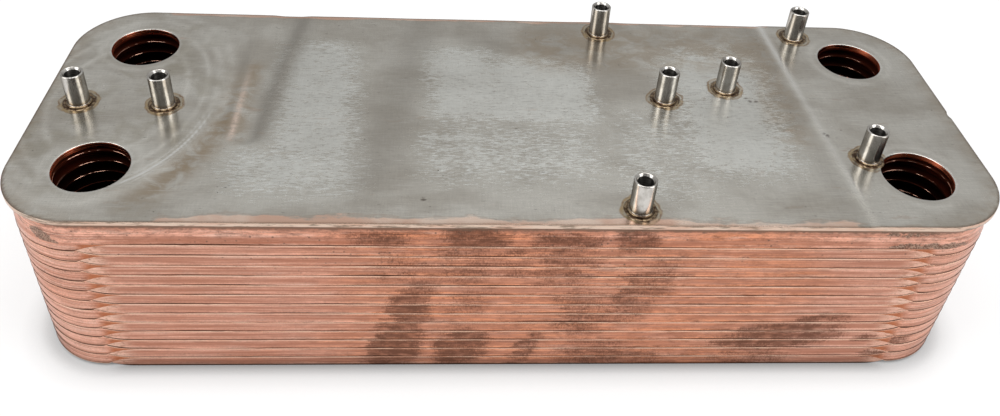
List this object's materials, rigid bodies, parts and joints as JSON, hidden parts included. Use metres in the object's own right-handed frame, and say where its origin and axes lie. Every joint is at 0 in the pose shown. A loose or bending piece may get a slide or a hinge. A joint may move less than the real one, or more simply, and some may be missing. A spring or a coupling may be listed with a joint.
{
  "type": "brazed plate heat exchanger",
  "caption": "Long flat stack of nested pressed steel trays, copper brazed, under a flat cover plate with a port at each corner and round threaded stand-offs.",
  "frame": {"origin": "middle of the stack's lower rim, on the surface it rests on", "axes": "+X along the length, +Y across the width, +Z out of the cover plate with the ports"},
  "size_m": [0.3288, 0.12, 0.083],
  "materials": {
    "cover_steel": "satin",
    "copper_brazed_sheet": "satin",
    "standoff_steel": "polished"
  },
  "bodies": {
    "root": {"cover_plate": "cover_steel", "top_tray": "copper_brazed_sheet", "channel_plate_1": "copper_brazed_sheet", "channel_plate_2": "copper_brazed_sheet", "channel_plate_3": "copper_brazed_sheet", "channel_plate_4": "copper_brazed_sheet", "channel_plate_5": "copper_brazed_sheet", "channel_plate_6": "copper_brazed_sheet", "channel_plate_7": "copper_brazed_sheet", "channel_plate_8": "copper_brazed_sheet", "channel_plate_9": "copper_brazed_sheet", "channel_plate_10": "copper_brazed_sheet", "channel_plate_11": "copper_brazed_sheet", "channel_plate_12": "copper_brazed_sheet", "channel_plate_13": "copper_brazed_sheet", "channel_plate_14": "copper_brazed_sheet", "channel_plate_15": "copper_brazed_sheet", "channel_plate_16": "copper_brazed_sheet", "channel_plate_17": "copper_brazed_sheet", "channel_plate_18": "copper_brazed_sheet", "channel_plate_19": "copper_brazed_sheet", "channel_plate_20": "copper_brazed_sheet", "channel_plate_21": "copper_brazed_sheet", "channel_plate_22": "copper_brazed_sheet", "channel_plate_23": "copper_brazed_sheet", "channel_plate_24": "copper_brazed_sheet", "channel_plate_25": "copper_brazed_sheet", "channel_plate_26": "copper_brazed_sheet", "back_plate": "cover_steel", "standoff_1": "standoff_steel", "standoff_2": "standoff_steel", "standoff_3": "standoff_steel", "standoff_4": "standoff_steel", "standoff_5": "standoff_steel", "standoff_6": "standoff_steel", "standoff_7": "standoff_steel", "standoff_8": "standoff_steel"}
  },
  "joints": []
}
